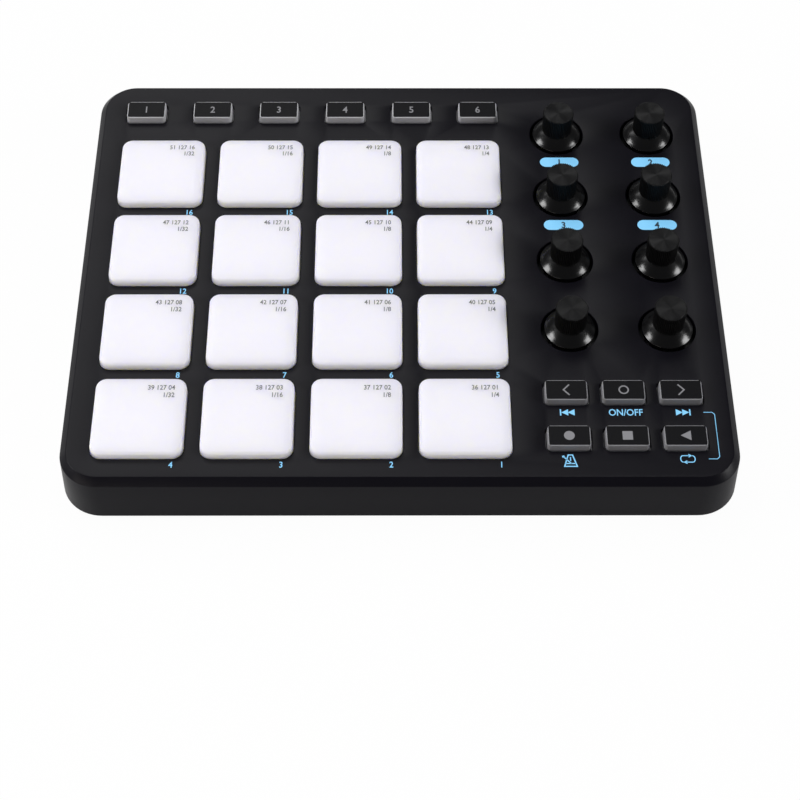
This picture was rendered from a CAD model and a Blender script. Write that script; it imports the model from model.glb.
"""Studio model of a flat desktop pad controller.

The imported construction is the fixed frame. Each class below builds and dresses one sub-assembly:
the case, the pads, the keys, the knobs, the printed marks and the pieces inside and underneath.
"""
import logging
import math
from dataclasses import dataclass, field
from enum import Enum
from typing import Callable, Iterable, Sequence

import bmesh
import bpy
from mathutils import Matrix, Vector, geometry


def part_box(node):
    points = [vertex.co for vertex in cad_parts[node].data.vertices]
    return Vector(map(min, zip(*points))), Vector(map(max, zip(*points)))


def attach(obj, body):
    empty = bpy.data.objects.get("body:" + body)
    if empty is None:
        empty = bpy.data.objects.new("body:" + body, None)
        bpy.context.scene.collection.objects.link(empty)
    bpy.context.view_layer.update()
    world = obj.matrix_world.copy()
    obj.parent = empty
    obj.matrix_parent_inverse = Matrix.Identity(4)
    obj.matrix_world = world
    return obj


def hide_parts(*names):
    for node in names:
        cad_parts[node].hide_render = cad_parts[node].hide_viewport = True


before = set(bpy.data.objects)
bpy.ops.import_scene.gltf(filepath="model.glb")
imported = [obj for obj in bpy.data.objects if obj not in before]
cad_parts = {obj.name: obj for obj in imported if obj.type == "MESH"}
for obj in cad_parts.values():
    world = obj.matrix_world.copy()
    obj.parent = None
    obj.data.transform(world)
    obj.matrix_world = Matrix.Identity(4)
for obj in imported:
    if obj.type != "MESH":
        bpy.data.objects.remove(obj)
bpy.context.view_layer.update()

LOG = logging.getLogger("pad_controller")
MM = 0.001
# Points closer together than this, in metres, are one point
WELD = 1e-6
# Least angle of an edge that stays crisp, in degrees
CRISP = 35.0
CASE_BODY = "case"
Point2 = tuple[float, float]
Colour = tuple[float, float, float]
Outline = list[Point2] | tuple[list[Point2], list[Point2]]
Ring = list[bmesh.types.BMVert]


class Symbol(Enum):
    """Pictograms that are printed on keys and on the panel."""

    CHEVRON_LEFT = "chevron_left"
    CHEVRON_RIGHT = "chevron_right"
    DOT = "dot"
    SQUARE = "square"
    TRIANGLE_LEFT = "triangle_left"
    RING = "ring"
    SKIP_LEFT = "skip_left"
    SKIP_RIGHT = "skip_right"
    METRONOME = "metronome"
    LOOP = "loop"


class Align(Enum):
    """Part of a printed line that sits at its place."""

    CENTRE = "CENTER"
    RIGHT = "RIGHT"


# Places and outlines


@dataclass(frozen=True)
class NodeBox:
    """Box of a node of the construction, in metres."""

    low: Vector
    high: Vector

    @classmethod
    def of(cls, node: str) -> "NodeBox":
        """Reads the box of one node from the frame."""
        low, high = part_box(node)
        return cls(Vector(low), Vector(high))

    @property
    def centre(self) -> Vector:
        """Middle of the box."""
        return (self.low + self.high) / 2

    @property
    def size(self) -> Vector:
        """Lengths of the box's sides."""
        return self.high - self.low


def rounded_profile(corners: Sequence[tuple[float, float, float]], steps: int = 4) -> list[Point2]:
    """Rounds the corners of an open line.

    Args:
        corners: Across, up and radius of each corner. The two ends aren't rounded.
        steps: Number of straight pieces in each round.

    Returns:
        The points of the rounded line.
    """
    points: list[Point2] = [(corners[0][0], corners[0][1])]
    for before, corner, after in zip(corners, corners[1:], corners[2:]):
        here = Vector(corner[:2])
        if corner[2] <= 0:
            points.append((here.x, here.y))
            continue
        back = (Vector(before[:2]) - here).normalized()
        onward = (Vector(after[:2]) - here).normalized()
        half = back.angle(onward) / 2
        reach = corner[2] / math.tan(half)
        centre = here + (back + onward).normalized() * corner[2] / math.sin(half)
        start = here + back * reach - centre
        end = here + onward * reach - centre
        for step in range(steps + 1):
            arm = start.lerp(end, step / steps).normalized() * corner[2]
            points.append((centre.x + arm.x, centre.y + arm.y))
    points.append((corners[-1][0], corners[-1][1]))
    return points


def rounded_rect(width: float, depth: float, radius: float, steps: int = 8) -> list[Point2]:
    """Outline of a rectangle with round corners, anticlockwise about its middle.

    Args:
        width: Size across.
        depth: Size from front to rear.
        radius: Radius of the corners.
        steps: Number of straight pieces in each corner.

    Returns:
        The outline's points.
    """
    points: list[Point2] = []
    for quarter, (sx, sy) in enumerate(((1, 1), (-1, 1), (-1, -1), (1, -1))):
        for step in range(steps + 1):
            angle = (quarter + step / steps) * math.pi / 2
            x = sx * (width / 2 - radius) + radius * math.cos(angle)
            y = sy * (depth / 2 - radius) + radius * math.sin(angle)
            points.append((x, y))
    return points


def circle(radius: float, steps: int, centre: Point2 = (0.0, 0.0)) -> list[Point2]:
    """Outline of a circle, anticlockwise.

    Args:
        radius: Radius of the circle.
        steps: Number of straight pieces.
        centre: Its middle.

    Returns:
        The outline's points.
    """
    angles = [i * (math.tau / steps) for i in range(steps)]
    return [(centre[0] + radius * math.cos(a), centre[1] + radius * math.sin(a)) for a in angles]


def stroke(path: Sequence[Point2], width: float, closed: bool = False) -> list[Outline]:
    """Turns a line into its outline, mitred where its straight strokes meet.

    Args:
        path: Points along the middle of the line.
        width: Width of the line.
        closed: Whether the last point joins the first.

    Returns:
        One outline, or an outer and an inner one where the line is closed.
    """
    # Least cosine at a mitre, which keeps a sharp corner from running out
    least_mitre = 0.4
    points = [Vector(p) for p in path]
    count = len(points)
    sides: list[tuple[Vector, Vector]] = []
    for i, here in enumerate(points):
        along: list[Vector] = []
        if i > 0 or closed:
            along.append((here - points[i - 1]).normalized())
        if i < count - 1 or closed:
            along.append((points[(i + 1) % count] - here).normalized())
        mean = sum(along, Vector((0.0, 0.0))).normalized()
        across = Vector((-mean.y, mean.x))
        spread = abs(across.dot(Vector((-along[0].y, along[0].x))))
        across *= width / 2 / max(least_mitre, spread)
        sides.append((here + across, here - across))
    left, right = ([(side[k].x, side[k].y) for side in sides] for k in (0, 1))
    return [(right, left)] if closed else [right + left[::-1]]


class MeshMaker:
    """Collects the faces of one piece and turns them into an object."""

    def __init__(self) -> None:
        """Starts with no faces."""
        self.mesh = bmesh.new()

    def ring(self, outline: Iterable[Point2], centre: Sequence[float], height: float) -> Ring:
        """Adds the points of a flat outline.

        Args:
            outline: Points about the middle.
            centre: Place of the middle.
            height: Level of the outline.

        Returns:
            The new points.
        """
        return [self.mesh.verts.new((centre[0] + x, centre[1] + y, height)) for x, y in outline]

    def loft(self, rings: Sequence[Ring], material: int = 0, smooth: bool = True) -> None:
        """Joins each ring to the next by a band of faces.

        Args:
            rings: Rings with the same number of points.
            material: Index of the material.
            smooth: Whether the faces are shaded as one round surface.
        """
        for low, high in zip(rings, rings[1:]):
            for i, here in enumerate(low):
                face = self.mesh.faces.new((low[i - 1], here, high[i], high[i - 1]))
                face.material_index = material
                face.smooth = smooth

    def cap(self, ring: Ring, material: int = 0, smooth: bool = False) -> None:
        """Closes a ring by one face.

        Args:
            ring: The points round the face.
            material: Index of the material.
            smooth: Whether the face is shaded as part of a round surface.
        """
        face = self.mesh.faces.new(ring)
        face.material_index = material
        face.smooth = smooth

    def fill(self, rings: Iterable[Ring], material: int = 0) -> None:
        """Fills the flat area between an outer ring and the holes in it.

        Args:
            rings: The outer ring and the rings of the holes.
            material: Index of the material.
        """
        edges = []
        for ring in rings:
            for i, here in enumerate(ring):
                pair = (ring[i - 1], here)
                edges.append(self.mesh.edges.get(pair) or self.mesh.edges.new(pair))
        made = bmesh.ops.triangle_fill(self.mesh, use_beauty=True, edges=edges)
        for face in made["geom"]:
            if isinstance(face, bmesh.types.BMFace):
                face.material_index = material
                face.smooth = False

    def prism(self, outline: Sequence[Point2], centre: Sequence[float], low: float, high: float,
              material: int = 0) -> None:
        """Adds a closed flat piece between two levels.

        Args:
            outline: Points about the middle.
            centre: Place of the middle.
            low: Lower level.
            high: Upper level.
            material: Index of the material.
        """
        rings = [self.ring(outline, centre, level) for level in (low, high)]
        self.loft(rings, material, smooth=False)
        self.cap(rings[0][::-1], material)
        self.cap(rings[1], material)

    def band(self, outer: Sequence[Point2], inner: Sequence[Point2], centre: Sequence[float],
             low: float, high: float, material: int = 0) -> None:
        """Adds a closed flat frame between two outlines and two levels.

        Args:
            outer: Outer points about the middle.
            inner: Inner points, as many as the outer ones.
            centre: Place of the middle.
            low: Lower level.
            high: Upper level.
            material: Index of the material.
        """
        outer_low, outer_high = (self.ring(outer, centre, level) for level in (low, high))
        inner_low, inner_high = (self.ring(inner, centre, level) for level in (low, high))
        self.loft([outer_low, outer_high, inner_high, inner_low, outer_low], material, smooth=False)

    def lathe(self, profile: Sequence[Point2], centre: Sequence[float], segments: int,
              material: int = 0) -> None:
        """Turns a profile of radius and height round an upright axis.

        Args:
            profile: Radius and height of each point. Radius 0 closes an end.
            centre: Place of the axis.
            segments: Number of faces round the axis.
            material: Index of the material.
        """
        rings: list[Ring] = []
        for radius, height in profile:
            outline = circle(radius, segments) if radius > 0 else [(0.0, 0.0)]
            rings.append(self.ring(outline, centre, height))
        for low, high in zip(rings, rings[1:]):
            if len(low) > 1 and len(high) > 1:
                self.loft([low, high], material)
                continue
            tip, rim = (low[0], high) if len(low) == 1 else (high[0], low)
            for i, here in enumerate(rim):
                face = self.mesh.faces.new((rim[i - 1], here, tip))
                face.material_index = material
                face.smooth = True

    def add_mesh(self, mesh: bpy.types.Mesh, material: int = 0) -> None:
        """Adds the faces of a finished mesh and welds its loose points.

        Args:
            mesh: The finished mesh.
            material: Index of the material.
        """
        before, points = len(self.mesh.faces), len(self.mesh.verts)
        self.mesh.from_mesh(mesh)
        self.mesh.verts.ensure_lookup_table()
        bmesh.ops.remove_doubles(self.mesh, verts=self.mesh.verts[points:], dist=WELD)
        self.mesh.faces.ensure_lookup_table()
        for face in self.mesh.faces[before:]:
            face.material_index = material

    def finish(self, name: str, materials: Sequence[bpy.types.Material],
               sharp: float = CRISP) -> bpy.types.Object:
        """Makes the object.

        Args:
            name: Name of the piece.
            materials: Materials by index.
            sharp: Least angle of an edge that stays crisp, in degrees.

        Returns:
            The object, at the origin.
        """
        bmesh.ops.recalc_face_normals(self.mesh, faces=self.mesh.faces)
        data = bpy.data.meshes.new(name)
        self.mesh.to_mesh(data)
        self.mesh.free()
        for material in materials:
            data.materials.append(material)
        data.set_sharp_from_angle(angle=math.radians(sharp))
        piece = bpy.data.objects.new(name, data)
        bpy.context.scene.collection.objects.link(piece)
        return piece


def apply_modifiers(piece: bpy.types.Object) -> None:
    """Bakes a piece's modifiers into a plain mesh.

    Args:
        piece: The piece, which keeps its name.
    """
    depsgraph = bpy.context.evaluated_depsgraph_get()
    data = bpy.data.meshes.new_from_object(piece.evaluated_get(depsgraph))
    piece.modifiers.clear()
    piece.data = data


def mount(piece: bpy.types.Object, body: str, replaced: Sequence[str] = ()) -> bpy.types.Object:
    """Lets a piece ride on a body and names its finish.

    Args:
        piece: The finished piece.
        body: Body that carries it.
        replaced: Nodes of the construction that it stands for.

    Returns:
        The piece.
    """
    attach(piece, body)
    if replaced:
        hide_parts(*replaced)
    LOG.info("%s rides on %s with %d faces", piece.name, body, len(piece.data.polygons))
    return piece


# Finishes


class NodeGraph:
    """Short way to add and join the nodes of a shader or geometry tree."""

    def __init__(self, tree: bpy.types.NodeTree) -> None:
        """Works on the given tree."""
        self.tree = tree

    def add(self, kind: str, **values: object) -> bpy.types.Node:
        """Adds a node.

        Args:
            kind: Type of the node.
            **values: Values of its properties, or of its inputs where a name is a socket's.

        Returns:
            The node.
        """
        node = self.tree.nodes.new(kind)
        for key, value in values.items():
            if hasattr(node, key):
                setattr(node, key, value)
            else:
                node.inputs[key.replace("_", " ")].default_value = value
        return node

    def join(self, source: bpy.types.NodeSocket, target: bpy.types.NodeSocket) -> None:
        """Links an output to an input."""
        self.tree.links.new(source, target)

    def maths(self, operation: str, first: object, second: object) -> bpy.types.NodeSocket:
        """Adds a Math node.

        Args:
            operation: What the node does.
            first: Socket or plain number.
            second: Socket or plain number.

        Returns:
            The node's output.
        """
        node = self.add("ShaderNodeMath", operation=operation)
        for socket, value in zip(node.inputs, (first, second)):
            if isinstance(value, bpy.types.NodeSocket):
                self.join(value, socket)
            else:
                socket.default_value = value
        return node.outputs[0]


def group_tree(name: str, inputs: Sequence[tuple[str, str, object]],
               outputs: Sequence[tuple[str, str]]) -> NodeGraph:
    """Starts a shader node group.

    Args:
        name: Name of the group.
        inputs: Name, socket type and default of each input.
        outputs: Name and socket type of each output.

    Returns:
        A graph on the new group, with its input and output nodes added.
    """
    tree = bpy.data.node_groups.new(name, "ShaderNodeTree")
    for label, kind, value in inputs:
        socket = tree.interface.new_socket(label, in_out="INPUT", socket_type=kind)
        socket.default_value = value
    for label, kind in outputs:
        tree.interface.new_socket(label, in_out="OUTPUT", socket_type=kind)
    graph = NodeGraph(tree)
    graph.add("NodeGroupInput", name="in")
    graph.add("NodeGroupOutput", name="out")
    return graph


def grain_group() -> bpy.types.NodeTree:
    """Moulded grain: fine bumps, a slow drift of tone and patches of sheen, on object coordinates.

    Returns:
        The node group, built at the first call.
    """
    name = "moulded_grain"
    if name in bpy.data.node_groups:
        return bpy.data.node_groups[name]
    fine_share, broad_share = 0.6, 0.4
    # Noise runs from 0 to 1, and these make it run from -1 to 1
    noise_middle, noise_gain = 0.5, 2.0
    graph = group_tree(
        name,
        [("Colour", "NodeSocketColor", (0.5, 0.5, 0.5, 1)), ("Tone", "NodeSocketFloat", 0.1),
         ("Roughness", "NodeSocketFloat", 0.5), ("Sheen", "NodeSocketFloat", 0.05),
         ("Scale", "NodeSocketFloat", 2500.0), ("Patch", "NodeSocketFloat", 45.0)],
        [("Colour", "NodeSocketColor"), ("Roughness", "NodeSocketFloat"), ("Height", "NodeSocketFloat")],
    )
    given = graph.tree.nodes["in"].outputs
    result = graph.tree.nodes["out"].inputs
    place = graph.add("ShaderNodeTexCoord").outputs["Object"]
    fine = graph.add("ShaderNodeTexNoise", Detail=3.0, Roughness=0.6)
    broad = graph.add("ShaderNodeTexNoise", Detail=4.0, Roughness=0.55)
    for noise, scale in ((fine, "Scale"), (broad, "Patch")):
        graph.join(place, noise.inputs["Vector"])
        graph.join(given[scale], noise.inputs["Scale"])
    mixed = graph.maths("ADD", graph.maths("MULTIPLY", fine.outputs["Fac"], fine_share),
                        graph.maths("MULTIPLY", broad.outputs["Fac"], broad_share))
    swing = graph.maths("MULTIPLY", graph.maths("SUBTRACT", mixed, noise_middle), given["Tone"])
    gain = graph.maths("ADD", graph.maths("MULTIPLY", swing, noise_gain), 1.0)
    tint = graph.add("ShaderNodeVectorMath", operation="SCALE")
    graph.join(given["Colour"], tint.inputs[0])
    graph.join(gain, tint.inputs["Scale"])
    graph.join(tint.outputs[0], result["Colour"])
    drift = graph.maths("SUBTRACT", broad.outputs["Fac"], noise_middle)
    patch = graph.maths("MULTIPLY", graph.maths("MULTIPLY", drift, given["Sheen"]), noise_gain)
    graph.join(graph.maths("ADD", given["Roughness"], patch), result["Roughness"])
    graph.join(fine.outputs["Fac"], result["Height"])
    return graph.tree


@dataclass(frozen=True)
class Finish:
    """Moulded, printed or plated surface with grain. Depths and scatter are in millimetres."""

    name: str
    colour: Colour
    roughness: float
    tone: float = 0.12
    sheen: float = 0.06
    grain_scale: float = 2500.0
    grain_depth: float = 0.012
    metallic: float = 0.0
    specular: float = 0.5
    subsurface: float = 0.0
    scatter: float = 1.2
    scatter_tint: Colour = (1.0, 1.0, 0.67)

    def material(self) -> bpy.types.Material:
        """Gives the material of this finish.

        Returns:
            The material, built at the first call.
        """
        made = bpy.data.materials.get(self.name)
        if made:
            return made
        made = bpy.data.materials.new(self.name)
        made.use_nodes = True
        graph = NodeGraph(made.node_tree)
        shader = made.node_tree.nodes["Principled BSDF"]
        grain = graph.add("ShaderNodeGroup", node_tree=grain_group())
        for label, value in (("Colour", (*self.colour, 1)), ("Tone", self.tone), ("Sheen", self.sheen),
                             ("Roughness", self.roughness), ("Scale", self.grain_scale)):
            grain.inputs[label].default_value = value
        graph.join(grain.outputs["Colour"], shader.inputs["Base Color"])
        graph.join(grain.outputs["Roughness"], shader.inputs["Roughness"])
        bump = graph.add("ShaderNodeBump", Strength=1.0, Distance=self.grain_depth * MM)
        graph.join(grain.outputs["Height"], bump.inputs["Height"])
        graph.join(bump.outputs["Normal"], shader.inputs["Normal"])
        shader.inputs["Metallic"].default_value = self.metallic
        shader.inputs["Specular IOR Level"].default_value = self.specular
        if self.subsurface:
            shader.inputs["Subsurface Weight"].default_value = self.subsurface
            shader.inputs["Subsurface Radius"].default_value = self.scatter_tint
            shader.inputs["Subsurface Scale"].default_value = self.scatter * MM
        return made


CASE_PLASTIC = Finish("case_plastic_black", (0.0044, 0.0041, 0.0064), 0.33, tone=0.10, grain_depth=0.003,
                      specular=0.1)
COVER_PLASTIC = Finish("cover_plastic_black", (0.016, 0.016, 0.017), 0.55, tone=0.16, grain_scale=1500,
                       grain_depth=0.02)
PAD_SILICONE = Finish("pad_silicone_white", (0.955, 0.885, 0.985), 0.5, tone=0.02, sheen=0.05,
                      grain_scale=1800, grain_depth=0.004, subsurface=1.0, scatter=13.0)
BELL_GLOSS = Finish("knob_bell_gloss", (0.0022, 0.0022, 0.0025), 0.21, tone=0.1, sheen=0.03,
                    grain_depth=0.0005, specular=0.42)
GRIP_MATTE = Finish("knob_grip_matte", (0.0035, 0.0035, 0.0038), 0.45, tone=0.2, grain_depth=0.004,
                    specular=0.2)
KNOB_TOP = Finish("knob_top_turned", (0.005, 0.005, 0.0055), 0.3, tone=0.1, grain_depth=0.001,
                  specular=0.2)
KEY_PLASTIC = Finish("key_plastic_grey", (0.21, 0.21, 0.225), 0.4, tone=0.06, grain_depth=0.004,
                     subsurface=0.2)
PALE_KEY_PLASTIC = Finish("key_plastic_pale", (0.42, 0.42, 0.44), 0.4, tone=0.06, grain_depth=0.004,
                          subsurface=0.2)
KEY_TOP_INK = Finish("key_top_black", (0.004, 0.004, 0.005), 0.42, tone=0.15, grain_depth=0.005,
                     specular=0.08)
KEY_MARK_INK = Finish("key_mark_grey", (0.20, 0.20, 0.215), 0.5, tone=0.08, grain_depth=0.003)
BLUE_INK = Finish("panel_print_blue", (0.22, 0.61, 0.95), 0.45, tone=0.05, grain_depth=0.003)
DARK_INK = Finish("panel_print_dark", (0.012, 0.03, 0.05), 0.5, tone=0.1, grain_depth=0.003)
PAD_INK = Finish("pad_print_grey", (0.13, 0.13, 0.14), 0.5, tone=0.08, grain_depth=0.003)
FOOT_RUBBER = Finish("foot_rubber_black", (0.012, 0.012, 0.012), 0.75, tone=0.25, grain_scale=1200,
                     grain_depth=0.03)
PLATED_STEEL = Finish("plated_steel", (0.50, 0.51, 0.53), 0.28, tone=0.08, grain_scale=900,
                      grain_depth=0.003, metallic=1.0)
BOARD_RESIST = Finish("board_resist_black", (0.006, 0.008, 0.007), 0.45, tone=0.15, grain_scale=600,
                      grain_depth=0.006)
CARRIER_PLASTIC = Finish("carrier_plastic_ivory", (0.62, 0.61, 0.57), 0.45, tone=0.06)
SENSOR_FILM = Finish("sensor_film_amber", (0.33, 0.15, 0.04), 0.25, tone=0.1, grain_depth=0.002)
BATTERY_FOIL = Finish("battery_foil", (0.56, 0.57, 0.6), 0.32, tone=0.08, grain_scale=400,
                      grain_depth=0.02, metallic=0.8)
SWITCH_PLASTIC = Finish("switch_plastic_dark", (0.03, 0.03, 0.032), 0.45, tone=0.12)


# Casing


@dataclass(frozen=True)
class Opening:
    """Opening of the panel: its middle, its outline for a given outset and the round along its edge."""

    middle: Vector
    outline: Callable[[float], list[Point2]]
    edge: float


@dataclass
class CaseShell:
    """Black case top: bevelled panel, walls, round-edged openings and the rear cut-outs."""

    corner_radius: float = 13.0 * MM
    corner_steps: int = 14
    draft: float = 0.8 * MM
    wall: float = 2.2 * MM
    panel: float = 2.2 * MM
    edge_run: float = 2.3 * MM
    edge_drop: float = 2.5 * MM
    edge_round: float = 0.5 * MM
    base_bevel: float = 0.5 * MM
    base_round: float = 0.25 * MM
    margin: float = 1.0 * MM
    opening_clear: float = 0.35 * MM
    opening_round: float = 0.18 * MM
    opening_steps: int = 6
    opening_round_steps: int = 3
    pad_lip: float = 1.5 * MM
    pad_corner: float = 3.6 * MM
    key_lip: float = 1.0 * MM
    key_corner: float = 1.3 * MM
    knob_hole_radius: float = 9.7 * MM
    knob_hole_bevel: float = 0.35 * MM
    knob_hole_steps: int = 72
    socket_clear: float = 0.3 * MM
    finger_room: float = 1.8 * MM
    rear_recess: float = 1.0 * MM
    round_end: float = 0.49
    lever_travel: float = 2.0 * MM
    lever_corner: float = 0.2 * MM
    box: NodeBox = field(default_factory=lambda: NodeBox.of("top_shell"))

    def rect_opening(self, node: str, lip: float, corner: float) -> Opening:
        """Finds the opening round a pad or a key.

        Args:
            node: Node of the pad or the key.
            lip: Width of the lip that it hides under the panel.
            corner: Radius of its corners.

        Returns:
            The opening.
        """
        box = NodeBox.of(node)
        width = box.size.x - 2 * lip + 2 * self.opening_clear
        depth = box.size.y - 2 * lip + 2 * self.opening_clear
        radius = corner + self.opening_clear

        def outline(outset: float) -> list[Point2]:
            """Outline of this opening, widened by outset."""
            return rounded_rect(width + 2 * outset, depth + 2 * outset, radius + outset, self.opening_steps)

        return Opening(box.centre, outline, self.opening_round)

    def knob_opening(self, node: str) -> Opening:
        """Finds the round opening under a knob.

        Args:
            node: Node of the knob.

        Returns:
            The opening.
        """
        def outline(outset: float) -> list[Point2]:
            """Outline of this opening, widened by outset."""
            return circle(self.knob_hole_radius + outset, self.knob_hole_steps)

        return Opening(NodeBox.of(node).centre, outline, self.knob_hole_bevel)

    def level(self, maker: MeshMaker, inset: float, height: float) -> Ring:
        """Adds a ring round the case.

        Args:
            maker: Where the points go.
            inset: Inset from the upper end of the walls.
            height: Level of the ring.

        Returns:
            The new points.
        """
        margin = 2 * (self.draft + inset)
        outline = rounded_rect(self.box.size.x - margin, self.box.size.y - margin,
                               self.corner_radius - inset, self.corner_steps)
        return maker.ring(outline, self.box.centre, height)

    def build(self, pads: Sequence[str], keys: Sequence[str], knobs: Sequence[str]) -> bpy.types.Object:
        """Builds the shell as one closed skin.

        Args:
            pads: Nodes of the pads.
            keys: Nodes of the keys.
            knobs: Nodes of the knobs.

        Returns:
            The shell, riding on the case.
        """
        low, high = self.box.low.z, self.box.high.z
        under = high - self.panel
        maker = MeshMaker()
        rim = rounded_profile([
            (self.wall, low, 0), (self.base_bevel - self.draft, low, self.base_round),
            (-self.draft, low + self.base_bevel, self.base_round),
            (0, high - self.edge_drop, self.edge_round), (self.edge_run, high, self.edge_round),
            (self.edge_run + self.margin, high, 0),
        ])
        outside = [self.level(maker, inset, height) for inset, height in rim]
        inside = self.level(maker, self.wall, under)
        maker.loft(outside)
        maker.loft([outside[0], inside], smooth=False)
        openings = [self.rect_opening(node, self.pad_lip, self.pad_corner) for node in pads]
        openings += [self.rect_opening(node, self.key_lip, self.key_corner) for node in keys]
        openings += [self.knob_opening(node) for node in knobs]
        top_holes, low_holes = [], []
        for opening in openings:
            reach = 2 * opening.edge
            lip = rounded_profile([(reach, high, 0), (0, high, opening.edge), (0, high - reach, 0)],
                                  self.opening_round_steps)[1:-1]
            rings = [maker.ring(opening.outline(outset), opening.middle, height) for outset, height in lip]
            rings.append(maker.ring(opening.outline(0), opening.middle, under))
            maker.loft(rings)
            top_holes.append(rings[0])
            low_holes.append(rings[-1])
        maker.fill([outside[-1], *top_holes])
        maker.fill([inside, *low_holes])
        shell = maker.finish("top_shell_skin", [CASE_PLASTIC.material()])
        self.cut_rear(shell)
        return mount(shell, CASE_BODY, ["top_shell"])

    def cut_rear(self, shell: bpy.types.Object) -> None:
        """Cuts the openings for the socket and the power lever into the rear wall.

        Args:
            shell: The closed skin of the case top.
        """
        socket = NodeBox.of("usb_socket")
        lever = NodeBox.of("power_lever")
        rear = self.box.high.y - self.draft
        inner = rear - self.wall - self.margin
        outer = rear + self.draft + self.margin
        recess = rear - self.rear_recess
        lever_middle = lever.centre + Vector((self.lever_travel / 2, 0, 0))
        lever_width = lever.size.x + self.lever_travel + 2 * self.opening_clear
        lever_height = lever.size.z + 2 * self.opening_clear
        # Middle, width, height, corner radius and depth at which the cut starts. Radius 0 gives round ends.
        cuts = [(socket.centre, socket.size.x + 2 * room, socket.size.z + 2 * room, 0.0, start)
                for room, start in ((self.socket_clear, inner), (self.finger_room, recess))]
        cuts += [
            (lever_middle, lever_width, lever_height, self.lever_corner, inner),
            (lever_middle, lever_width + 2 * self.finger_room, lever_height + self.finger_room, 0.0, recess),
        ]
        for index, (middle, width, height, corner, start) in enumerate(cuts):
            maker = MeshMaker()
            outline = rounded_rect(width, height, corner or height * self.round_end)
            maker.prism(outline, (0, 0), -outer, -start)
            cutter = maker.finish(f"rear_cut_{index}", [CASE_PLASTIC.material()])
            cutter.data.transform(Matrix.Rotation(math.pi / 2, 4, "X"))
            cutter.data.transform(Matrix.Translation((middle.x, 0, middle.z)))
            change = shell.modifiers.new("cut", "BOOLEAN")
            change.operation = "DIFFERENCE"
            change.solver = "EXACT"
            change.object = cutter
            apply_modifiers(shell)
            bpy.data.objects.remove(cutter)
        shell.data.set_sharp_from_angle(angle=math.radians(CRISP))


# Pads


@dataclass
class PadBank:
    """Sixteen white silicone pads with soft edges and a low crown."""

    lip: float = 1.5 * MM
    lip_height: float = 1.2 * MM
    corner: float = 3.6 * MM
    least_corner: float = 0.8 * MM
    press_depth: float = 0.9 * MM
    press_inset: float = 4.5 * MM
    edge_round: float = 1.1 * MM
    crown: float = 0.2 * MM
    crown_run: float = 2.4 * MM
    flare: float = 0.25 * MM
    steps: int = 6
    sharp: float = 40.0

    def build(self, node: str) -> bpy.types.Object:
        """Builds one pad.

        Args:
            node: Node of the construction, which is also the body.

        Returns:
            The pad, riding on its own body.
        """
        box = NodeBox.of(node)
        foot, top = box.low.z, box.high.z
        ledge = foot + self.press_depth
        seat = ledge + self.lip_height
        shoulder = top - self.crown
        flared = self.lip - self.flare
        past_round = self.lip + 3 * self.edge_round
        section = [(self.press_inset, foot), (self.press_inset, ledge), (0.0, ledge), (0.0, seat),
                   (flared, seat)]
        section += rounded_profile([
            (flared, seat, 0), (self.lip, shoulder, self.edge_round), (past_round, shoulder, 0),
        ], self.steps)[1:-1]
        for step in range(1, self.steps + 1):
            share = step / self.steps
            section.append((self.lip + self.edge_round + self.crown_run * share,
                            shoulder + self.crown * math.sin(share * math.pi / 2)))
        maker = MeshMaker()
        rings = []
        for inset, height in section:
            radius = max(self.least_corner, self.corner + self.lip - inset)
            outline = rounded_rect(box.size.x - 2 * inset, box.size.y - 2 * inset, radius)
            rings.append(maker.ring(outline, box.centre, height))
        maker.loft(rings)
        maker.cap(rings[0][::-1])
        maker.cap(rings[-1], smooth=True)
        pad = maker.finish(f"{node}_silicone", [PAD_SILICONE.material()], self.sharp)
        return mount(pad, node, [node])


# Knobs


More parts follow.
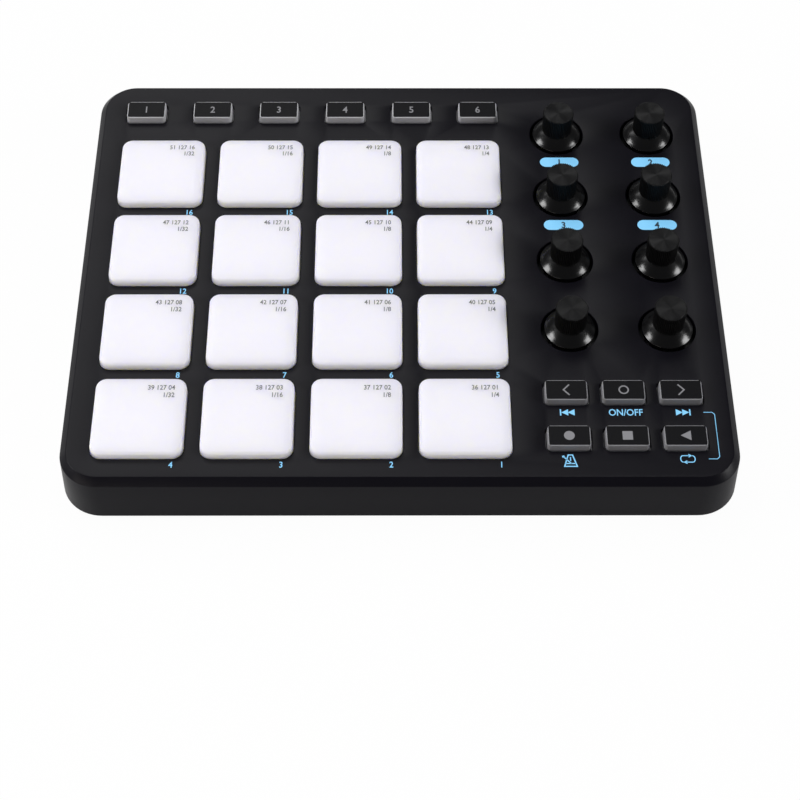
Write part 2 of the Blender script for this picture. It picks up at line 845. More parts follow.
def ridge_tree() -> bpy.types.NodeTree:
    """Geometry tree that stands slim leaning bars with bevelled ends in a ring, for a knurled grip.

    Returns:
        The tree, built at the first call.
    """
    name = "ridge_ring"
    if name in bpy.data.node_groups:
        return bpy.data.node_groups[name]
    # The foot of a tip is a little slimmer than its bar, so that both stay closed shells
    sides, tip_foot, tip_end = 8, 0.98, 0.15
    tree = bpy.data.node_groups.new(name, "GeometryNodeTree")
    for label, kind in (("Count", "NodeSocketInt"), ("Radius", "NodeSocketFloat"),
                        ("Width", "NodeSocketFloat"), ("Length", "NodeSocketFloat"),
                        ("Bevel", "NodeSocketFloat"), ("Lean", "NodeSocketVector"),
                        ("Place", "NodeSocketVector"), ("Finish", "NodeSocketMaterial")):
        tree.interface.new_socket(label, in_out="INPUT", socket_type=kind)
    tree.interface.new_socket("Ridges", in_out="OUTPUT", socket_type="NodeSocketGeometry")
    graph = NodeGraph(tree)
    given = graph.add("NodeGroupInput").outputs
    result = graph.add("NodeGroupOutput").inputs
    half = graph.maths("MULTIPLY", given["Width"], 0.5)
    bar = graph.add("GeometryNodeMeshCylinder", fill_type="NGON", Vertices=sides)
    graph.join(half, bar.inputs["Radius"])
    graph.join(given["Length"], bar.inputs["Depth"])
    tip = graph.add("GeometryNodeMeshCone", fill_type="NGON", Vertices=sides)
    graph.join(graph.maths("MULTIPLY", half, tip_foot), tip.inputs["Radius Bottom"])
    graph.join(graph.maths("MULTIPLY", half, tip_end), tip.inputs["Radius Top"])
    graph.join(given["Bevel"], tip.inputs["Depth"])
    raised = graph.add("GeometryNodeTransform")
    lift = graph.add("ShaderNodeCombineXYZ")
    graph.join(graph.maths("MULTIPLY", given["Length"], 0.5), lift.inputs["Z"])
    graph.join(tip.outputs["Mesh"], raised.inputs["Geometry"])
    graph.join(lift.outputs["Vector"], raised.inputs["Translation"])
    ridge = graph.add("GeometryNodeJoinGeometry")
    graph.join(bar.outputs["Mesh"], ridge.inputs["Geometry"])
    graph.join(raised.outputs["Geometry"], ridge.inputs["Geometry"])
    leaning = graph.add("GeometryNodeTransform")
    out = graph.add("ShaderNodeCombineXYZ")
    graph.join(given["Radius"], out.inputs["X"])
    graph.join(ridge.outputs["Geometry"], leaning.inputs["Geometry"])
    graph.join(out.outputs["Vector"], leaning.inputs["Translation"])
    graph.join(given["Lean"], leaning.inputs["Rotation"])
    spots = graph.add("GeometryNodeMeshLine", Offset=(0, 0, 0))
    graph.join(given["Count"], spots.inputs["Count"])
    share = graph.maths("DIVIDE", graph.add("GeometryNodeInputIndex").outputs[0], given["Count"])
    turn = graph.add("ShaderNodeCombineXYZ")
    graph.join(graph.maths("MULTIPLY", share, math.tau), turn.inputs["Z"])
    copies = graph.add("GeometryNodeInstanceOnPoints")
    graph.join(spots.outputs["Mesh"], copies.inputs["Points"])
    graph.join(leaning.outputs["Geometry"], copies.inputs["Instance"])
    graph.join(turn.outputs["Vector"], copies.inputs["Rotation"])
    shift = graph.add("GeometryNodeTransform")
    graph.join(copies.outputs["Instances"], shift.inputs["Geometry"])
    graph.join(given["Place"], shift.inputs["Translation"])
    solid = graph.add("GeometryNodeRealizeInstances")
    graph.join(shift.outputs["Geometry"], solid.inputs["Geometry"])
    dressed = graph.add("GeometryNodeSetMaterial")
    graph.join(solid.outputs["Geometry"], dressed.inputs["Geometry"])
    graph.join(given["Finish"], dressed.inputs["Material"])
    graph.join(dressed.outputs["Geometry"], result[0])
    return tree


def grown(name: str, tree: bpy.types.NodeTree, values: dict[str, object]) -> bpy.types.Object:
    """Runs a geometry tree once and keeps its result as a plain piece.

    Args:
        name: Name of the piece.
        tree: The geometry tree.
        values: Input values by name.

    Returns:
        The piece, with no modifier left.
    """
    piece = bpy.data.objects.new(name, bpy.data.meshes.new(name))
    bpy.context.scene.collection.objects.link(piece)
    change = piece.modifiers.new("grow", "NODES")
    change.node_group = tree
    for item in tree.interface.items_tree:
        if item.item_type == "SOCKET" and item.in_out == "INPUT":
            change[item.identifier] = values[item.name]
    apply_modifiers(piece)
    piece.data.name = name
    return piece


@dataclass
class Knob:
    """Bell-shaped knob with a knurled grip and a turned top."""

    sink: float = 1.2 * MM
    hollow: float = 1.6 * MM
    lip_step: float = 0.16 * MM
    lip_height: float = 0.35 * MM
    lip_round: float = 0.1 * MM
    bell_height: float = 3.2 * MM
    bell_foot_slope: float = 50.0
    bell_neck_slope: float = 33.0
    bell_fullness: float = 0.37
    bell_round: float = 0.3 * MM
    bell_points: int = 18
    bell_joint: int = 2
    bell_sharp: float = 30.0
    core_sink: float = 0.2 * MM
    core_drop: float = 0.1 * MM
    grip_radius: float = 5.35 * MM
    grip_top_radius: float = 5.5 * MM
    ridges: int = 52
    ridge_width: float = 0.46 * MM
    ridge_bevel: float = 0.22 * MM
    ridge_proud: float = 0.36 * MM
    ridge_sink: float = 0.3 * MM
    top_bevel: float = 0.3 * MM
    top_inset: float = 0.21 * MM
    top_depth: float = 0.3 * MM
    top_step: float = 0.1 * MM
    top_grooves: int = 14
    top_sharp: float = 75.0
    groove_depth: float = 0.11 * MM
    groove_points: int = 6
    rim_height: float = 0.7 * MM
    rim_drop: float = 0.16 * MM
    segments: int = 96

    def build(self, node: str) -> list[bpy.types.Object]:
        """Builds one knob.

        Args:
            node: Node of the construction, which is also the body.

        Returns:
            The bell, the ridges and the turned top.
        """
        box = NodeBox.of(node)
        return [self.bell(node, box), self.grip(node, box), self.top(node, box)]

    def bell(self, node: str, box: NodeBox) -> bpy.types.Object:
        """Turns the gloss bell, which bulges a little, and the core of the grip.

        Args:
            node: Node of the knob.
            box: Its box.

        Returns:
            The bell, riding on the knob's body.
        """
        skirt = box.size.x / 2
        panel = box.low.z + self.sink
        shoulder = skirt - self.lip_step
        lip = panel + self.lip_height
        neck = panel + self.bell_height
        hollow = skirt - self.hollow
        low, high = self.grip_radius - self.ridge_proud, self.grip_top_radius - self.ridge_proud
        start, end = Vector((shoulder, lip)), Vector((low, neck))
        reach = (end - start).length * self.bell_fullness
        slopes = (math.radians(self.bell_foot_slope), math.radians(self.bell_neck_slope))
        leave, arrive = (Vector((-math.cos(a), math.sin(a))) * reach for a in slopes)
        bell = geometry.interpolate_bezier(start, start + leave, end - arrive, end, self.bell_points)
        joint = bell[self.bell_joint]
        edge = rounded_profile([
            (hollow, box.low.z, 0), (shoulder, box.low.z, self.lip_round),
            (shoulder, panel - self.lip_step, 0), (skirt, panel, self.lip_round),
            (skirt, lip, self.bell_round), (joint.x, joint.y, 0),
        ])
        outer = edge + [(point.x, point.y) for point in bell[self.bell_joint + 1:]]
        maker = MeshMaker()
        maker.lathe([(0.0, panel), (hollow, panel)] + outer + [(0.0, neck)], box.centre, self.segments)
        core_foot, core_top = neck - self.core_sink, box.high.z - self.core_drop
        core = [(0.0, core_foot), (low, core_foot), (high, box.high.z - self.top_bevel),
                (high - self.top_bevel, core_top), (0.0, core_top)]
        maker.lathe(core, box.centre, self.segments, 1)
        piece = maker.finish(f"{node}_bell", [BELL_GLOSS.material(), GRIP_MATTE.material()], self.bell_sharp)
        return mount(piece, node, [node])

    def grip(self, node: str, box: NodeBox) -> bpy.types.Object:
        """Grows the ridges of the knurled grip.

        Args:
            node: Node of the knob.
            box: Its box.

        Returns:
            The ridges, riding on the knob's body.
        """
        low = box.low.z + self.sink + self.bell_height - self.ridge_sink
        length = box.high.z - self.ridge_bevel - low
        lean = math.atan2(self.grip_radius - self.grip_top_radius, length)
        radius = (self.grip_radius + self.grip_top_radius) / 2 - self.ridge_width / 2
        piece = grown(f"{node}_ridges", ridge_tree(), {
            "Count": self.ridges, "Radius": radius, "Width": self.ridge_width, "Length": length,
            "Bevel": self.ridge_bevel, "Lean": (0.0, -lean, 0.0),
            "Place": (box.centre.x, box.centre.y, low + length / 2), "Finish": GRIP_MATTE.material(),
        })
        return mount(piece, node)

    def top(self, node: str, box: NodeBox) -> bpy.types.Object:
        """Turns the top disc with its fine round grooves, which stretch highlights outwards.

        Args:
            node: Node of the knob.
            box: Its box.

        Returns:
            The top, riding on the knob's body.
        """
        reach = self.grip_top_radius - self.ridge_proud - self.top_inset
        rim = reach + self.top_step
        height, steps = box.high.z, self.groove_points * self.top_grooves
        low = height - self.top_depth
        profile = [(0.0, low), (rim, low), (rim, height - self.top_step)]
        for k in range(steps + 1):
            wave = (1 - math.cos(k / self.groove_points * math.tau)) / 2
            profile.append((reach * (1 - k / steps), height - self.groove_depth * wave))
        maker = MeshMaker()
        maker.lathe(profile, box.centre, self.segments)
        self.rim(maker, box)
        piece = maker.finish(f"{node}_top", [KNOB_TOP.material()], self.top_sharp)
        return mount(piece, node)

    def rim(self, maker: MeshMaker, box: NodeBox) -> None:
        """Adds the toothed rim in which the ridges end.

        Args:
            maker: Where the faces go.
            box: Box of the knob.
        """
        crest = self.grip_top_radius
        valley = crest - self.ridge_proud
        tooth = (valley, crest, crest, valley)
        count, middle = len(tooth) * self.ridges, (len(tooth) - 1) / 2
        outline = []
        for k in range(count):
            angle = (k - middle) / count * math.tau
            radius = tooth[k % len(tooth)]
            outline.append((radius * math.cos(angle), radius * math.sin(angle)))
        rings = [maker.ring(outline, box.centre, box.high.z - drop)
                 for drop in (self.rim_height, self.rim_drop)]
        maker.loft(rings)
        maker.cap(rings[0][::-1])
        maker.cap(rings[-1])


# Printed marks


@dataclass
class Ink:
    """Thin printed layer, built as closed flat pieces of a given thickness."""

    thickness: float = 0.03 * MM
    cap_share: float = 0.69
    narrow: float = 0.86
    curve_steps: int = 3

    def shape(self, maker: MeshMaker, outlines: Iterable[Outline], centre: Sequence[float], height: float,
              material: int = 0) -> None:
        """Prints outlines on a surface.

        Args:
            maker: Where the faces go.
            outlines: The outlines about the middle.
            centre: Place of the middle.
            height: Level of the surface.
            material: Index of the material.
        """
        top = height + self.thickness
        for outline in outlines:
            if isinstance(outline, tuple):
                maker.band(*outline, centre, height, top, material)
            else:
                maker.prism(outline, centre, height, top, material)

    def number(self, maker: MeshMaker, words: str, place: Sequence[float], cap: float, align: Align,
               material: int = 0, weight: float = 0.012) -> None:
        """Prints a number or a short plain word.

        Args:
            maker: Where the faces go.
            words: What is printed.
            place: Place of the line's foot at the aligned side.
            cap: Height of the digits.
            align: Part of the line that sits at the place.
            material: Index of the material.
            weight: Share of the size by which the strokes are thickened.
        """
        curve = bpy.data.curves.new("number", "FONT")
        curve.body = words
        curve.align_x = align.value
        curve.size = cap / self.cap_share
        curve.extrude = self.thickness / 2
        curve.offset = weight * curve.size
        curve.resolution_u = self.curve_steps
        writing = bpy.data.objects.new("number", curve)
        bpy.context.scene.collection.objects.link(writing)
        bpy.context.view_layer.update()
        depsgraph = bpy.context.evaluated_depsgraph_get()
        data = bpy.data.meshes.new_from_object(writing.evaluated_get(depsgraph))
        data.transform(Matrix.Diagonal((self.narrow, 1, 1, 1)))
        data.transform(Matrix.Translation((place[0], place[1], place[2] + self.thickness / 2)))
        maker.add_mesh(data, material)
        bpy.data.objects.remove(writing)
        bpy.data.curves.remove(curve)
        bpy.data.meshes.remove(data)


@dataclass(frozen=True)
class Pictograms:
    """Outlines of the pictograms about their middles. Points in the methods are in millimetres."""

    line: float = 0.47 * MM
    dot_radius: float = 1.75 * MM
    ring_radius: float = 1.5 * MM
    square_side: float = 3.35 * MM
    square_corner: float = 0.12 * MM
    metronome_line: float = 0.42 * MM
    metronome_foot_line: float = 0.4 * MM
    metronome_tick_line: float = 0.36 * MM
    weight_radius: float = 0.45 * MM
    loop_line: float = 0.34 * MM
    dot_steps: int = 40
    ring_steps: int = 32
    weight_steps: int = 16
    corner_steps: int = 2

    @staticmethod
    def scaled(points: Sequence[Point2], mirror: float = 1.0) -> list[Point2]:
        """Points given in millimetres, mirrored from side to side where mirror is -1."""
        turned = [(x * mirror * MM, y * MM) for x, y in points]
        return turned if mirror > 0 else turned[::-1]

    def chevron(self, mirror: float) -> list[Outline]:
        """Open arrow that points to the left, or to the right where mirror is -1."""
        return stroke(self.scaled([(0.98, 2.1), (-0.98, 0.0), (0.98, -2.1)], mirror), self.line)

    def skip(self, mirror: float) -> list[Outline]:
        """Two filled arrows and a bar, to the left or, where mirror is -1, to the right."""
        parts = [[(2.5, 1.25), (0.2, 0.0), (2.5, -1.25)], [(0.4, 1.25), (-1.9, 0.0), (0.4, -1.25)],
                 [(-1.9, 1.25), (-2.35, 1.25), (-2.35, -1.25), (-1.9, -1.25)]]
        return [self.scaled(part, mirror) for part in parts]

    def metronome(self) -> list[Outline]:
        """Metronome with its foot line, a leaning rod, a tick and the rod's weight.

        Returns:
            The outlines in metres.
        """
        body = [(-0.55, 2.2), (0.85, 2.2), (2.2, -2.2), (-1.9, -2.2)]
        foot = [(-1.55, -1.1), (1.8, -1.1)]
        rod = [(0.35, -1.1), (-2.0, 1.45)]
        tick = [(0.15, 1.4), (0.15, -0.1)]
        weight = (-2.1 * MM, 1.55 * MM)
        outlines = stroke(self.scaled(body), self.metronome_line, closed=True)
        for path, width in ((foot, self.metronome_foot_line), (rod, self.metronome_line),
                            (tick, self.metronome_tick_line)):
            outlines += stroke(self.scaled(path), width)
        return outlines + [circle(self.weight_radius, self.weight_steps, weight)]

    def loop(self) -> list[Outline]:
        """Two bent arrows that follow each other.

        Returns:
            The outlines in metres.
        """
        bow_middle, bow_width, bow_height = 1.5, 0.85, 1.25
        angles = [math.radians(a) for a in range(0, 181, 20)]
        bow = [(bow_middle + bow_width * math.sin(a), bow_height * math.cos(a)) for a in angles]
        half = [(-0.6, bow_height), *bow]
        head = [(-0.3, 2.0), (-1.5, bow_height), (-0.3, 0.5)]
        outlines = stroke(self.scaled(half, -1), self.loop_line) + [self.scaled(head, -1)]
        return outlines + [[(-x, -y) for x, y in outline] for outline in outlines]

    def outlines(self, symbol: Symbol) -> list[Outline]:
        """Outlines of one pictogram.

        Args:
            symbol: Which pictogram.

        Returns:
            The outlines in metres.
        """
        match symbol:
            case Symbol.CHEVRON_LEFT:
                return self.chevron(1)
            case Symbol.CHEVRON_RIGHT:
                return self.chevron(-1)
            case Symbol.DOT:
                return [circle(self.dot_radius, self.dot_steps)]
            case Symbol.SQUARE:
                return [rounded_rect(self.square_side, self.square_side, self.square_corner,
                                     self.corner_steps)]
            case Symbol.TRIANGLE_LEFT:
                return [self.scaled([(1.65, 1.9), (-1.75, 0.0), (1.65, -1.9)])]
            case Symbol.RING:
                return stroke(circle(self.ring_radius, self.ring_steps), self.line, closed=True)
            case Symbol.SKIP_LEFT:
                return self.skip(1)
            case Symbol.SKIP_RIGHT:
                return self.skip(-1)
            case Symbol.METRONOME:
                return self.metronome()
            case Symbol.LOOP:
                return self.loop()


@dataclass
class PanelPrint:
    """Blue marks on the panel: pad numbers, pills, pictograms and a bracket."""

    ink: Ink = field(default_factory=Ink)
    pictograms: Pictograms = field(default_factory=Pictograms)
    number_cap: float = 2.2 * MM
    number_inset: float = 2.85 * MM
    number_drop: float = 3.72 * MM
    pill_count: int = 4
    pill_width: float = 14.0 * MM
    pill_depth: float = 4.5 * MM
    pill_drop: float = 13.6 * MM
    pill_shift: float = 0.4 * MM
    pill_number_cap: float = 2.6 * MM
    pill_number_weight: float = 0.03
    pill_steps: int = 10
    round_end: float = 0.499
    caption_drop: float = 7.5 * MM
    skip_right_shift: float = 0.4 * MM
    metronome_drop: float = 8.28 * MM
    loop_drop: float = 7.63 * MM
    loop_shift: float = 0.2 * MM
    word_cap: float = 2.5 * MM
    word_shift: float = 0.35 * MM
    line: float = 0.23 * MM
    bracket_start: float = 7.0 * MM
    bracket_reach: float = 10.6 * MM
    bracket_bend: float = 0.8 * MM

    def build(self, pads: Sequence[str], knobs: Sequence[str], keys: Sequence[str], panel: float,
              lip: float) -> None:
        """Prints all the marks of the panel.

        Args:
            pads: Nodes of the pads, in the order of their numbers.
            knobs: Nodes of the knobs, from the rear left.
            keys: Nodes of the transport keys, from the rear left.
            panel: Height of the panel's face.
            lip: Width of the lip that a pad hides under the panel.
        """
        self.pad_numbers(pads, panel, lip)
        self.knob_pills(knobs[:self.pill_count], panel)
        self.key_captions([NodeBox.of(node).centre for node in keys], panel)

    def pad_numbers(self, pads: Sequence[str], panel: float, lip: float) -> None:
        """Prints the number of each pad in front of it.

        Args:
            pads: Nodes of the pads, in the order of their numbers.
            panel: Height of the panel's face.
            lip: Width of the lip that a pad hides under the panel.
        """
        maker = MeshMaker()
        for index, node in enumerate(pads, start=1):
            box = NodeBox.of(node)
            place = (box.high.x - lip - self.number_inset, box.low.y + lip - self.number_drop, panel)
            self.ink.number(maker, str(index), place, self.number_cap, Align.RIGHT)
        mount(maker.finish("pad_numbers", [BLUE_INK.material()]), CASE_BODY)

    def knob_pills(self, knobs: Sequence[str], panel: float) -> None:
        """Prints a pill with a dark number in front of each of these knobs.

        Args:
            knobs: Nodes of the knobs.
            panel: Height of the panel's face.
        """
        maker = MeshMaker()
        radius = self.pill_depth * self.round_end
        outline = rounded_rect(self.pill_width, self.pill_depth, radius, self.pill_steps)
        for index, node in enumerate(knobs, start=1):
            middle = NodeBox.of(node).centre + Vector((self.pill_shift, -self.pill_drop, 0))
            self.ink.shape(maker, [outline], middle, panel)
            foot = (middle.x, middle.y - self.pill_number_cap / 2, panel + self.ink.thickness)
            self.ink.number(maker, str(index), foot, self.pill_number_cap, Align.CENTRE, 1,
                            self.pill_number_weight)
        pills = maker.finish("knob_pills", [BLUE_INK.material(), DARK_INK.material()])
        mount(pills, CASE_BODY)

    def key_captions(self, places: Sequence[Vector], panel: float) -> None:
        """Prints the captions of the transport keys and the bracket beside them.

        Args:
            places: Middles of the transport keys, from the rear left.
            panel: Height of the panel's face.
        """
        maker = MeshMaker()
        for symbol, key, shift, drop in (
            (Symbol.SKIP_LEFT, 0, 0.0, self.caption_drop),
            (Symbol.SKIP_RIGHT, 2, self.skip_right_shift, self.caption_drop),
            (Symbol.METRONOME, 3, 0.0, self.metronome_drop),
            (Symbol.LOOP, 5, self.loop_shift, self.loop_drop),
        ):
            place = places[key] + Vector((shift, -drop, 0))
            self.ink.shape(maker, self.pictograms.outlines(symbol), place, panel)
        word = (places[1].x + self.word_shift, places[1].y - self.caption_drop - self.word_cap / 2, panel)
        self.ink.number(maker, "ON/OFF", word, self.word_cap, Align.CENTRE)
        self.bracket(maker, places, panel)
        mount(maker.finish("key_captions", [BLUE_INK.material()]), CASE_BODY)

    def bracket(self, maker: MeshMaker, places: Sequence[Vector], panel: float) -> None:
        """Prints the thin bracket that joins the two rows of transport keys at the right.

        Args:
            maker: Where the faces go.
            places: Middles of the transport keys, from the rear left.
            panel: Height of the panel's face.
        """
        top = places[2].y - self.caption_drop
        low = places[5].y - self.loop_drop
        start, reach = places[2].x + self.bracket_start, places[2].x + self.bracket_reach
        bend = self.bracket_bend
        path = [(start, top), (reach - bend, top), (reach, top - bend),
                (reach, low + bend), (reach - bend, low), (start, low)]
        self.ink.shape(maker, stroke(path, self.line), (0, 0), panel)


@dataclass
class PadPrint:
    """Two small grey lines of numbers in the rear right corner of each pad."""

    ink: Ink = field(default_factory=Ink)
    lip: float = 1.5 * MM
    cap: float = 1.8 * MM
    side_inset: float = 3.6 * MM
    rear_inset: float = 4.95 * MM
    line_pitch: float = 3.0 * MM
    columns: int = 4
    first_note: int = 36
    loudest: int = 127
    longest_part: int = 4

    def build(self, node: str, index: int) -> bpy.types.Object:
        """Prints the numbers of one pad.

        Args:
            node: Node of the pad, which is also the body.
            index: Number of the pad, from 1.

        Returns:
            The print, riding on the pad.
        """
        box = NodeBox.of(node)
        maker = MeshMaker()
        x = box.high.x - self.lip - self.side_inset
        y = box.high.y - self.lip - self.rear_inset
        note = self.first_note + index - 1
        part = self.longest_part * 2 ** ((index - 1) % self.columns)
        for line, words in enumerate((f"{note} {self.loudest} {index:02d}", f"1/{part}")):
            place = (x, y - line * self.line_pitch, box.high.z)
            self.ink.number(maker, words, place, self.cap, Align.RIGHT)
        return mount(maker.finish(f"{node}_print", [PAD_INK.material()]), node)


# Keys


@dataclass
class Key:
    """Grey key cap with a black printed top and a grey mark."""

    lip: float = 1.0 * MM
    lip_height: float = 1.0 * MM
    corner: float = 1.3 * MM
    corner_follow: float = 0.8
    taper: float = 0.3 * MM
    edge_round: float = 0.28 * MM
    rim: float = 0.32 * MM
    top_drop: float = 0.9 * MM
    print_corner: float = 0.5 * MM
    number_cap: float = 3.0 * MM
    stem_drop: float = 1.15 * MM
    stem_radius: float = 2.0 * MM
    stem_sink: float = 0.2 * MM
    stem_steps: int = 32
    steps: int = 5
    ink: Ink = field(default_factory=Ink)
    pictograms: Pictograms = field(default_factory=Pictograms)

    def build(self, node: str, mark: Symbol | str, plastic: Finish) -> bpy.types.Object:
        """Builds one key.

        Args:
            node: Node of the construction, which is also the body.
            mark: Pictogram or number on its top.
            plastic: Finish of the cap.

        Returns:
            The key, riding on its own body.
        """
        box = NodeBox.of(node)
        foot, top = box.low.z, box.high.z - self.top_drop
        ledge = foot + self.stem_drop
        seat = ledge + self.lip_height
        lean = self.lip + self.taper
        past_round = lean + 3 * self.edge_round
        section = [(0.0, ledge), (0.0, seat), (self.lip, seat)]
        section += rounded_profile([
            (self.lip, seat, 0), (lean, top, self.edge_round), (past_round, top, 0),
        ], self.steps)[1:-1]
        maker = MeshMaker()
        rings = []
        for inset, height in section:
            radius = self.corner + self.lip - inset * self.corner_follow
            outline = rounded_rect(box.size.x - 2 * inset, box.size.y - 2 * inset, radius)
            rings.append(maker.ring(outline, box.centre, height))
        maker.loft(rings)
        maker.cap(rings[0][::-1])
        maker.cap(rings[-1])
        stem_top = ledge + self.stem_sink
        stem = [(0.0, foot), (self.stem_radius, foot), (self.stem_radius, stem_top), (0.0, stem_top)]
        maker.lathe(stem, box.centre, self.stem_steps)
        inset = lean + self.rim
        plate = rounded_rect(box.size.x - 2 * inset, box.size.y - 2 * inset, self.print_corner, self.steps)
        self.ink.shape(maker, [plate], box.centre, top, 1)
        surface = top + self.ink.thickness
        if isinstance(mark, Symbol):
            self.ink.shape(maker, self.pictograms.outlines(mark), box.centre, surface, 2)
        else:
            place = (box.centre.x, box.centre.y - self.number_cap / 2, surface)
            self.ink.number(maker, mark, place, self.number_cap, Align.CENTRE, 2)
        materials = [plastic.material(), KEY_TOP_INK.material(), KEY_MARK_INK.material()]
        return mount(maker.finish(f"{node}_cap", materials), node, [node])


# Pieces that keep their construction solids


NODE_FINISHES: dict[str, Finish] = {
    "bottom_cover": COVER_PLASTIC,
    "rubber_feet": FOOT_RUBBER,
    "cover_screws": PLATED_STEEL,
    "board_screws": PLATED_STEEL,
    "usb_socket": PLATED_STEEL,
    "encoder_bodies": PLATED_STEEL,
    "main_board": BOARD_RESIST,
    "pad_carrier": CARRIER_PLASTIC,
    "sensor_film": SENSOR_FILM,
    "battery": BATTERY_FOIL,
    "key_switches": SWITCH_PLASTIC,
    "power_switch": SWITCH_PLASTIC,
    "power_lever": SWITCH_PLASTIC,
}


def dress_nodes(shafts: Sequence[str]) -> None:
    """Gives the solids that have no piece of their own here their finishes.

    Args:
        shafts: Nodes of the encoder shafts.
    """
    finishes = dict(NODE_FINISHES)
    finishes.update({node: PLATED_STEEL for node in shafts})
    for node, finish in finishes.items():
        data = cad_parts[node].data
        data.materials.clear()
        data.materials.append(finish.material())
        LOG.info("%s is dressed in %s", node, finish.name)


# Studio


@dataclass(frozen=True)
class Lamp:
    """Soft rectangular lamp, in metres. A radiance of 1 is the brightness of white."""

    name: str
    place: tuple[float, float, float]
    size: tuple[float, float]
    radiance: float
    colour: Colour = (1.0, 1.0, 1.0)

    def hang(self, target: Vector) -> None:
        """Adds the lamp to the scene.

        Args:
            target: Point that it faces.
        """
        data = bpy.data.lights.new(self.name, "AREA")
        data.shape = "RECTANGLE"
        data.size, data.size_y = self.size
        data.energy = self.radiance * self.size[0] * self.size[1] * math.pi
        data.color = self.colour
        lamp = bpy.data.objects.new(self.name, data)
        lamp.location = self.place
        aim = target - Vector(self.place)
        lamp.rotation_euler = aim.to_track_quat("-Z", "Y").to_euler()
        bpy.context.scene.collection.objects.link(lamp)


LAMPS = (
    Lamp("left_softbox", (-2.55, -0.1, 1.38), (1.15, 0.8), 14.5),
    Lamp("right_softbox", (2.75, -0.55, 1.0), (1.2, 0.95), 13),
    Lamp("rear_fill", (-1.2, 1.9, 2.7), (2.9, 2.2), 3.1),
    Lamp("overhead", (0.2, 0.3, 2.6), (1.0, 1.0), 5.5),
    Lamp("front_card", (-0.35, -0.45, 0.1), (0.5, 0.12), 4.2, (1.0, 0.93, 0.86)),
)


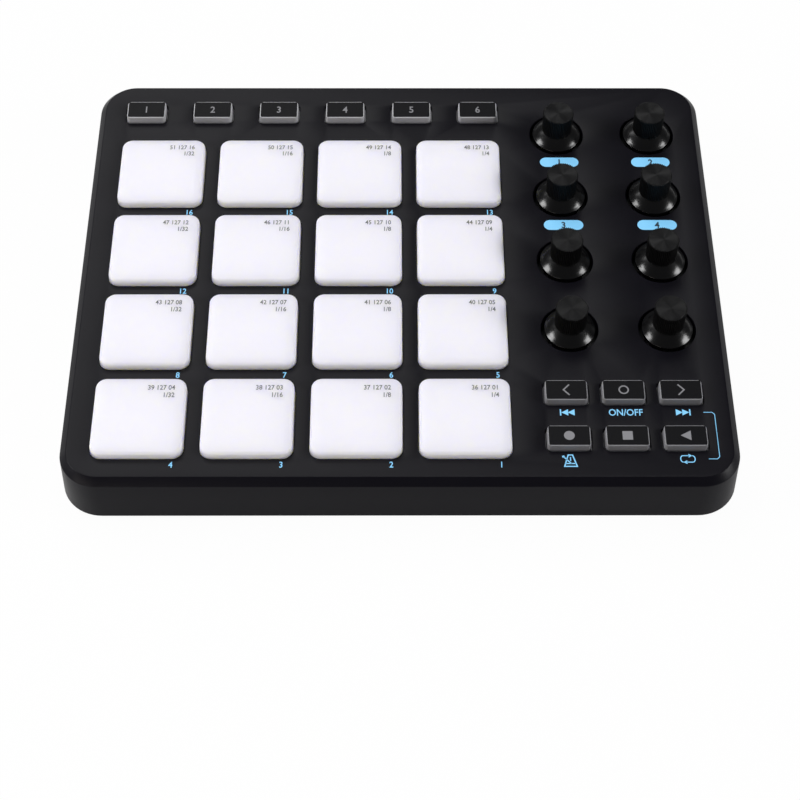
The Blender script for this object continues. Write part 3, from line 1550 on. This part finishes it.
@dataclass
class Studio:
    """Camera, lights and the white floor. Angles are in degrees."""

    elevation: float = 55.075
    yaw: float = -0.412
    roll: float = 0.301
    distance: float = 610.2 * MM
    target: tuple[float, float, float] = (0.03 * MM, -56.34 * MM, 22.0 * MM)
    focal_pixels: float = 1843.0
    frame_pixels: float = 800.0
    sensor: float = 36.0
    nearest: float = 10.0 * MM
    lamp_target: tuple[float, float, float] = (0.0, 0.0, 20.0 * MM)
    surroundings: float = 0.1
    floor_size: float = 12.0
    floor_grey: float = 0.75
    floor_roughness: float = 0.9
    floor_glow: float = 0.97
    floor_glint: float = 0.15

    def camera(self) -> None:
        """Places the camera at the photograph's viewpoint."""
        el, yaw, roll = (math.radians(a) for a in (self.elevation, self.yaw, self.roll))
        forward = Vector((-math.sin(yaw) * math.cos(el), math.cos(yaw) * math.cos(el), -math.sin(el)))
        right = Vector((math.cos(yaw), math.sin(yaw), 0))
        up = right.cross(forward)
        turned_right = right * math.cos(roll) + up * math.sin(roll)
        turned_up = up * math.cos(roll) - right * math.sin(roll)
        data = bpy.data.cameras.new("camera")
        data.sensor_width = self.sensor
        data.lens = self.focal_pixels / self.frame_pixels * self.sensor
        data.clip_start = self.nearest
        camera = bpy.data.objects.new("camera", data)
        turn = Matrix((turned_right, turned_up, -forward)).transposed().to_4x4()
        camera.matrix_world = Matrix.Translation(Vector(self.target) - forward * self.distance) @ turn
        bpy.context.scene.collection.objects.link(camera)
        bpy.context.scene.camera = camera

    def lights(self) -> None:
        """Adds the lamps and the even surroundings."""
        for lamp in LAMPS:
            lamp.hang(Vector(self.lamp_target))
        world = bpy.data.worlds.new("surroundings")
        world.use_nodes = True
        back = world.node_tree.nodes["Background"]
        back.inputs["Color"].default_value = (1, 1, 1, 1)
        back.inputs["Strength"].default_value = self.surroundings
        bpy.context.scene.world = world

    def floor(self) -> None:
        """Lays the pale floor, which keeps the object's shadow."""
        maker = MeshMaker()
        half = self.floor_size / 2
        maker.cap(maker.ring([(-half, -half), (half, -half), (half, half), (-half, half)], (0, 0), 0.0))
        material = bpy.data.materials.new("studio_floor")
        material.use_nodes = True
        graph = NodeGraph(material.node_tree)
        shader = material.node_tree.nodes["Principled BSDF"]
        shader.inputs["Base Color"].default_value = (self.floor_grey, self.floor_grey, self.floor_grey, 1)
        shader.inputs["Roughness"].default_value = self.floor_roughness
        glow = graph.add("ShaderNodeEmission", Strength=1.0)
        path = graph.add("ShaderNodeLightPath").outputs
        seen = graph.maths("MULTIPLY", path["Is Camera Ray"], self.floor_glow)
        mirrored = graph.maths("MAXIMUM", path["Is Glossy Ray"], path["Is Transmission Ray"])
        share = graph.maths("MAXIMUM", seen, graph.maths("MULTIPLY", mirrored, self.floor_glint))
        mixed = graph.add("ShaderNodeMixShader")
        graph.join(share, mixed.inputs["Fac"])
        graph.join(shader.outputs[0], mixed.inputs[1])
        graph.join(glow.outputs[0], mixed.inputs[2])
        graph.join(mixed.outputs[0], material.node_tree.nodes["Material Output"].inputs["Surface"])
        floor = maker.finish("floor", [material])

    def build(self) -> None:
        """Sets up the whole studio."""
        bpy.context.scene.view_settings.view_transform = "Standard"
        self.camera()
        self.lights()
        self.floor()


def numbered(stem: str, count: int, digits: int = 1) -> list[str]:
    """Names of the nodes of one kind, numbered from 1."""
    return [f"{stem}_{i:0{digits}d}" for i in range(1, count + 1)]


def main() -> None:
    """Builds every sub-assembly."""
    logging.basicConfig(level=logging.INFO, format="%(message)s")
    pads = numbered("pad", 16, digits=2)
    knobs = numbered("knob", 8)
    shafts = numbered("encoder_shaft", 8)
    mode_keys = numbered("mode_key", 6)
    transport_keys = numbered("transport_key", 6)
    Studio().build()
    case = CaseShell()
    case.build(pads, mode_keys + transport_keys, knobs)
    pad_bank, pad_print = PadBank(), PadPrint()
    for index, node in enumerate(pads, start=1):
        pad_bank.build(node)
        pad_print.build(node, index)
    knob = Knob()
    for node in knobs:
        knob.build(node)
    key = Key()
    for index, node in enumerate(mode_keys, start=1):
        key.build(node, str(index), PALE_KEY_PLASTIC)
    transport_marks = (Symbol.CHEVRON_LEFT, Symbol.RING, Symbol.CHEVRON_RIGHT,
                       Symbol.DOT, Symbol.SQUARE, Symbol.TRIANGLE_LEFT)
    for node, mark in zip(transport_keys, transport_marks):
        key.build(node, mark, KEY_PLASTIC)
    PanelPrint().build(pads, knobs, transport_keys, case.box.high.z, case.pad_lip)
    dress_nodes(shafts)


if __name__ == "__main__":
    main()
